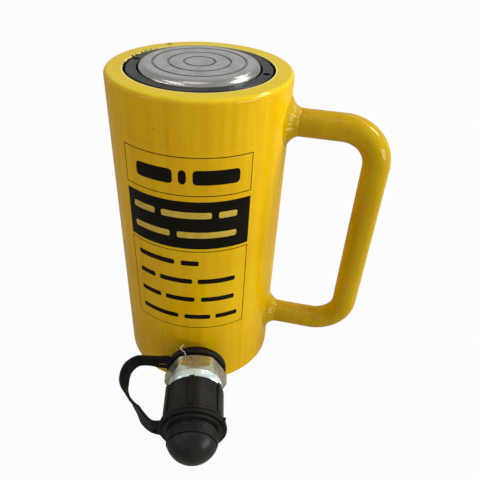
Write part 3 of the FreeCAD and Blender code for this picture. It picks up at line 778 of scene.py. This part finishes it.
def wrapped(name, bm, finish, thickness):
    mesh = bpy.data.meshes.new(name)
    bmesh.ops.remove_doubles(bm, verts=bm.verts, dist=1e-6)
    bm.to_mesh(mesh)
    bm.free()
    sheet = bpy.data.objects.new(name, mesh)
    bpy.context.scene.collection.objects.link(sheet)
    useTree(sheet, wrapTree, {
        "Radius": bodyRadius, "Middle": math.radians(label["middle"]), "Material": finishes[finish],
    })
    wall = sheet.modifiers.new("wall", "SOLIDIFY")
    wall.thickness = thickness
    wall.offset = -1
    freeze(sheet)
    for face in sheet.data.polygons:
        face.use_smooth = False
    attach(sheet, "cylinder")
    return sheet


def filmFinish():
    material, tree, surface = newFinish("labelFilm", paint["body"]["colour"], 0.0, 0.24, **paint["coat"])
    place = placeOn(tree)
    tree.links.new(mottledPaint(tree, place, paint["body"]), surface.inputs["Base Color"])
    tree.links.new(spread(tree, grain(tree, place, 60, 3), 0.3, 0.75, 0.16, 0.28), surface.inputs["Roughness"])
    ripples = grain(tree, place, 1, 1, (190, 190, 22))
    bumps(tree, surface, [(ripples, 0.00016), (grain(tree, place, 420, 1), 0.00002)])
    return material


def reverseFinish():
    material, tree, surface = newFinish("labelReverse", (0.66, 0.44, 0.05), 0.0, 0.3)
    place = placeOn(tree)
    worn = spread(tree, grain(tree, place, 300, 3), 0.45, 0.8)
    tree.links.new(tint(tree, worn, (0.66, 0.44, 0.05), (0.50, 0.33, 0.05)), surface.inputs["Base Color"])
    bumps(tree, surface, [(grain(tree, place, 420, 1), 0.00002)])
    return material


finishes["labelFilm"] = filmFinish()
finishes["labelReverse"] = reverseFinish()


def buildLabel():
    half = label["width"] / 2 * mm
    line = label["line"] * mm
    film = label["filmLift"] * mm
    ink = label["inkLift"] * mm
    side, above = (value * mm for value in label["filmMargin"])
    base = bmesh.new()
    filmLow = label["listBox"][0] * mm - above
    filmHigh = label["titleBox"][1] * mm + above
    flatBar(base, -half - side, half + side, filmLow, filmHigh, 1.5 * mm, film)
    wrapped("label_film", base, "labelFilm", film * 0.8)
    dark = bmesh.new()
    for low, high in (label["titleBox"], label["listBox"]):
        flatFrame(dark, -half, half, low * mm, high * mm, line, ink)
    flatBar(dark, -half, half, label["band"][0] * mm, label["band"][1] * mm, lift=ink)
    wordBars(dark, label["titleRow"], ink)
    for row in label["listRows"]:
        wordBars(dark, row, ink)
    wrapped("label_ink", dark, "labelInk", (ink - film) * 0.8)
    reverse = bmesh.new()
    for row in label["bandRows"]:
        wordBars(reverse, row, ink + 0.03 * mm)
    wrapped("label_bars", reverse, "labelReverse", 0.025 * mm)


buildLabel()
print("label wrapped")

# Welds: a hollow bead round each foot of the bar, with the ripples and lumps of a hand weld under paint
weld = {
    "around": 120,
    "across": 12,
    "legOut": 4.9,
    "legAlong": 4.7,
    "hollow": 0.30,
    "root": 1.6,
    "uneven": 0.55,
    "ripple": 0.10,
    "ripples": 26,
}


def buildWeld(name, node, seed):
    low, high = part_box(node)
    centre = (low.z + high.z) / 2
    barRadius = (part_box("handle")[1].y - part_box("handle")[0].y) / 2
    rows = []
    for index in range(weld["around"]):
        angle = 2 * math.pi * index / weld["around"]
        ring = Vector((math.cos(angle), math.sin(angle), 0))
        wander = noise.noise(ring * 1.7 + Vector((seed, 0, 0)))
        wander += 0.5 * noise.noise(ring * 4.5 + Vector((0, seed, 0)))
        legOut = (weld["legOut"] + weld["uneven"] * wander) * mm
        legAlong = (weld["legAlong"] - weld["uneven"] * wander) * mm
        wave = weld["ripple"] * math.sin(weld["ripples"] * angle + 2 * wander) * mm
        row = []
        for step in range(weld["across"] + 1):
            share = step / weld["across"]
            hollow = 4 * weld["hollow"] * share * (1 - share) * 0.5
            out = (1 - share - hollow) * legOut
            along = (share - hollow) * legAlong
            swell = math.sin(math.pi * share)
            lump = noise.noise(Vector((ring.x * 3, ring.y * 3, share * 2 + seed))) * 0.35 * mm
            grow = (wave + lump) * swell * 0.7
            radius = barRadius + max(out + grow, 0.0) - (0.05 * mm if step == weld["across"] else 0.0)
            y, z = radius * math.cos(angle), radius * math.sin(angle)
            face = math.sqrt(bodyRadius ** 2 - y ** 2)
            sunk = 0.05 * mm if step == 0 else 0.0
            row.append(Vector((face + max(along + grow, 0.0) - sunk, y, centre + z)))
        inner = barRadius - 0.4 * mm  # the hidden back lies inside the body and the bar
        y, z = inner * math.cos(angle), inner * math.sin(angle)
        row.append(Vector((row[-1].x, y, centre + z)))
        row.append(Vector((math.sqrt(bodyRadius ** 2 - y ** 2) - weld["root"] * mm, y, centre + z)))
        y, z = (barRadius + legOut) * math.cos(angle), (barRadius + legOut) * math.sin(angle)
        row.append(Vector((math.sqrt(bodyRadius ** 2 - y ** 2) - weld["root"] * mm, y, centre + z)))
        rows.append(row)
    bm = bmesh.new()
    skin(bm, rows, closedRows=True)
    bead = meshObject(name, bm, "yellow_paint")
    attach(bead, "cylinder")
    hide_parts(node)
    return bead


buildWeld("weld_upper", "handle_weld_upper", 3.1)
buildWeld("weld_lower", "handle_weld_lower", 8.4)
print("welds laid")

# Strap: one rubber moulding, a ring at each end and a band that twists as it loops round
strapStart, strapEnd = stations("dust_cap_strap")
strap = {
    "points": [  # side, out, up, lean in degrees, width, all in mm, out from the base ring's middle
        (13.5, 0.0, 4.5, 7, 8.6),
        (18.7, -0.1, 4.4, 6, 7.6),
        (24.5, -0.7, 4.4, -1, 7.2),
        (29.9, 0.0, 4.5, 7, 7.2),
        (34.0, 5.1, 4.3, 25, 7.2),
        (34.3, 13.4, 4.2, 30, 7.2),
        (31.9, 18.6, 1.6, 13, 7.2),
        (29.2, 21.8, 0.7, 19, 7.2),
        (26.6, 24.4, -0.9, 1, 7.4),
        (23.4, 29.7, -0.4, -8, 8.0),
        (18.6, 34.6, 0.7, -1, 9.0),
        (14.0, 35.0, 0.5, -4, 10.0),
    ],
    "thickness": 1.4,
    "edge": 0.5,
    "baseRing": {"inner": 8.9, "outer": 15.0, "thickness": 3.6, "edge": 0.8},
    "capRing": {"inner": 12.8, "outer": 15.6, "thickness": 2.2, "edge": 0.7},
    "slots": [  # side, out, up of the middle, then length and height
        (16.7, 0.0, 2.9, 4.0, 1.6),
        (17.2, 35.0, -1.2, 1.9, 2.0),
    ],
    "nub": (-14.1, 35.0, 8.0, 0.9),
    "voxel": 0.34,
}


def latheRing(bm, inner, outer, thickness, edge, out):
    section = roundedSection(outer - inner, thickness, edge)
    middle = (inner + outer) / 2
    rows = []
    for index in range(96):
        angle = 2 * math.pi * index / 96
        rows.append([
            atPort((middle + x) * math.cos(angle) * mm, out + y * mm, (middle + x) * math.sin(angle) * mm)
            for x, y in section
        ])
    skin(bm, rows, closedRows=True)


def slotCutter(slot, baseOut):  # a block through the band beside a ring
    side, out, up, length, height = (value * mm for value in slot)
    bm = bmesh.new()
    bmesh.ops.create_cube(bm, size=1.0)
    for vertex in bm.verts:
        x, y, z = vertex.co
        vertex.co = atPort(side + x * length, baseOut + out + y * 8 * mm, up + z * height)
    cutter = meshObject("slotCutter", bm, None, smooth=False)
    return cutter


def buildStrap():
    hexStart = strapStart + strap["baseRing"]["thickness"] * mm
    baseOut = hexStart - strap["baseRing"]["thickness"] / 2 * mm
    capOut = strapEnd - strap["capRing"]["thickness"] / 2 * mm
    bm = bmesh.new()
    for part, out in (("baseRing", baseOut), ("capRing", capOut)):
        ring = strap[part]
        latheRing(bm, ring["inner"], ring["outer"], ring["thickness"], ring["edge"], out)
    rows = []
    line = smoothLine(strap["points"], 8)
    centres = [atPort(side * mm, baseOut + out * mm, up * mm) for side, out, up, lean, width in line]
    for index, (side, out, up, lean, width) in enumerate(line):
        before, after = centres[max(index - 1, 0)], centres[min(index + 1, len(line) - 1)]
        ahead = (after - before).normalized()
        tall = (portUp - ahead * portUp.dot(ahead)).normalized()
        tall.rotate(Matrix.Rotation(math.radians(lean), 3, ahead))
        flat = ahead.cross(tall)
        section = roundedSection(width, strap["thickness"], strap["edge"])
        rows.append([centres[index] + tall * x * mm + flat * y * mm for x, y in section])
    grid = skin(bm, rows)
    bm.faces.new(reversed(grid[0]))
    bm.faces.new(grid[-1])
    side, out, up, size = (value * mm for value in strap["nub"])
    nubPlace = Matrix.Translation(atPort(side, baseOut + out, up))
    bmesh.ops.create_icosphere(bm, subdivisions=2, radius=size, matrix=nubPlace)
    band = meshObject("cap_strap", bm, "black_rubber")
    weldUp = band.modifiers.new("moulding", "REMESH")
    weldUp.mode = "VOXEL"
    weldUp.voxel_size = strap["voxel"] * mm
    freeze(band)
    for slot in strap["slots"]:
        cutter = slotCutter(slot, baseOut)
        cut = band.modifiers.new("slot", "BOOLEAN")
        cut.object = cutter
        freeze(band)
        bpy.data.objects.remove(cutter)
    ease = band.modifiers.new("ease", "SMOOTH")
    ease.factor = 0.5
    ease.iterations = 4
    freeze(band)
    band.data.materials.clear()
    band.data.materials.append(finishes["black_rubber"])
    for face in band.data.polygons:
        face.use_smooth = True
    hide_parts("dust_cap_strap")
    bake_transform(band)
    return band


buildStrap()
print("strap moulded")

# Threads: one on the cap's neck and one on the coupler's nose, which shows once the cap is off
threads = {
    "capNeck": {
        "body": "cap", "finish": "black_plastic", "radius": 11.16, "pitch": 1.3,
        "turns": 3.8, "ridge": 0.50, "start": 83.7, "fade": 0.04,
    },
    "noseThread": {
        "body": "cylinder", "finish": "bright_zinc", "radius": 12.36, "pitch": 1.8,
        "turns": 6.2, "ridge": 0.24, "start": 60.9, "fade": 0.05,
    },
}


def buildThread(name):
    look = threads[name]
    thread = bpy.data.objects.new(name, bpy.data.meshes.new(name))
    bpy.context.scene.collection.objects.link(thread)
    useTree(thread, threadTree, {
        "Radius": look["radius"] * mm, "Pitch": look["pitch"] * mm, "Turns": look["turns"],
        "Ridge": look["ridge"] * mm, "Fade": look["fade"], "Material": finishes[look["finish"]],
    })
    axes = Matrix((portUp, portSide, portOut)).transposed().to_4x4()  # X up, Y to the side, Z out
    thread.data.transform(Matrix.Translation(atPort(0, look["start"] * mm, 0)) @ axes)
    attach(thread, look["body"])


for threadName in threads:
    buildThread(threadName)
print("threads wound")

# A loose end of sealing tape, left on the port
tape = {
    "points": [  # side, out, up in mm
        (6.1, 44.5, 16.1),
        (7.0, 45.6, 16.6),
        (7.6, 46.6, 16.2),
        (6.7, 47.6, 15.5),
        (5.6, 48.2, 15.1),
        (5.0, 48.9, 13.5),
    ],
    "width": 0.34,
    "thickness": 0.12,
    "colour": (0.78, 0.77, 0.74),
    "dull": (0.60, 0.58, 0.54),
}


def buildTape():
    material, tree, surface = newFinish("sealingTape", tape["colour"], 0.0, 0.55)
    fibres = grain(tree, placeOn(tree), 1800, 3)
    colour = tint(tree, spread(tree, fibres, 0.3, 0.7), tape["colour"], tape["dull"])
    tree.links.new(colour, surface.inputs["Base Color"])
    bumps(tree, surface, [(fibres, 0.00003)])
    finishes["sealingTape"] = material
    line = [atPort(side * mm, out * mm, up * mm) for side, out, up in smoothLine(tape["points"], 8)]
    rows = []
    for index, point in enumerate(line):
        ahead = (line[min(index + 1, len(line) - 1)] - line[max(index - 1, 0)]).normalized()
        flat = ahead.cross(portUp).normalized()
        flat.rotate(Matrix.Rotation(0.35 * index, 3, ahead))
        tall = flat.cross(ahead)
        section = roundedSection(tape["width"] * mm, tape["thickness"] * mm, 0.05 * mm, 2)
        rows.append([point + flat * x + tall * y for x, y in section])
    bm = bmesh.new()
    grid = skin(bm, rows)
    bm.faces.new(reversed(grid[0]))
    bm.faces.new(grid[-1])
    strand = meshObject("tape_end", bm, "sealingTape")
    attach(strand, "cylinder")


buildTape()
print("tape laid")

# Springs: the CAD coils as they are, each copied into a mesh of its own
springs = {
    "returnCoils": {"node": "return_spring", "hold": 0.030, "lead": 6 * mm},
    "poppetCoils": {"node": "poppet_spring", "joint": "poppet_slide"},
}


def copyNode(name, node):
    bm = bmesh.new()
    bm.from_mesh(nodes[node].data)
    piece = meshObject(name, bm, "spring_steel", smooth=False)
    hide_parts(node)
    return piece


def buildSprings():
    look = springs["returnCoils"]  # the return spring, baked where it stands
    coils = copyNode("returnCoils", look["node"])
    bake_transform(coils)
    look = springs["poppetCoils"]  # the poppet's spring, attached to the cylinder
    coils = copyNode("poppetCoils", look["node"])
    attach(coils, "cylinder")
    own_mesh(coils)


buildSprings()
print("springs fitted")
